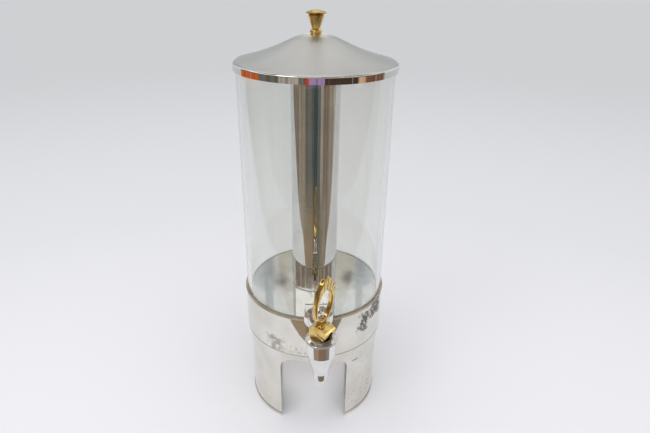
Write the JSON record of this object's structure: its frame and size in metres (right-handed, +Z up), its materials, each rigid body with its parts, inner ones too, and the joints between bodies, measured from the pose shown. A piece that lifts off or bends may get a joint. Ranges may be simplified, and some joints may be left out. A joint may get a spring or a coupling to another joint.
{
  "type": "drinks dispenser",
  "caption": "Counter drinks dispenser: clear cylinder with a steel ice tube, bell lid with a knob, polished steel base with a glass bay, and a flip-handle tap.",
  "frame": {"origin": "on the table, under the axis of the clear cylinder", "axes": "+Z up along the cylinder, -Y out through the tap, +X to the right as seen from the tap side"},
  "size_m": [0.2028, 0.2807, 0.5618],
  "materials": {
    "polished_steel": "mirror-polished stainless steel",
    "satin_steel": "satin spun stainless steel, polished rim",
    "clear_plastic": "clear moulded plastic",
    "gilt_metal": "polished gold-coloured plating",
    "chrome_plate": "chrome plating",
    "plain_steel": "plain stainless steel",
    "white_nylon": "white moulded plastic",
    "silicone": "translucent brownish silicone"
  },
  "bodies": {
    "dispenser": {"pedestal_skirt": "polished_steel", "collar_band": "polished_steel", "tank_floor": "polished_steel", "tank_channel": "polished_steel", "cylinder_seal": "silicone", "clear_cylinder": "clear_plastic", "ice_tube": "polished_steel", "tube_seat": "white_nylon", "tube_stud": "plain_steel", "stud_washer": "plain_steel", "wing_nut": "plain_steel", "tap_body": "chrome_plate", "tap_saddle": "white_nylon", "inner_gasket": "silicone", "nut_washer": "plain_steel", "lock_nut": "chrome_plate", "bonnet_gasket": "silicone", "tap_bonnet": "chrome_plate", "return_spring": "plain_steel"},
    "lid": {"lid_cover": "satin_steel", "lid_gasket": "silicone", "lid_knob": "gilt_metal", "knob_washer": "plain_steel", "knob_screw": "plain_steel"},
    "cam_seat": {"cam_washer": "gilt_metal"},
    "stem": {"valve_stem": "gilt_metal", "seat_cup": "silicone"},
    "handle": {"tap_handle": "gilt_metal", "pivot_pin": "gilt_metal"}
  },
  "joints": [
    {"name": "lid_lift", "type": "slide", "parent": "dispenser", "child": "lid", "axis": [0, 0, 1], "range_m": [0, 0.12]},
    {"name": "handle_swivel", "type": "hinge", "parent": "dispenser", "child": "cam_seat", "pos_m": [0, -0.16, 0.2119], "axis": [0, 0, 1], "continuous": true},
    {"name": "stem_lift", "type": "slide", "parent": "cam_seat", "child": "stem", "axis": [0, 0, 1], "range_m": [0, 0.0072], "deforming": ["return_spring"]},
    {"name": "handle_tilt", "type": "hinge", "parent": "stem", "child": "handle", "pos_m": [0, -0.16, 0.2194], "axis": [0.6691, 0.7431, 0], "range_deg": [0, 80], "stiffness_Nm_per_rad": 0.05, "springref_deg": -45.84}
  ],
  "couplings": [
    {"joint": "stem_lift", "follows": "handle_tilt", "m_per_rad": 0.0049656}
  ]
}
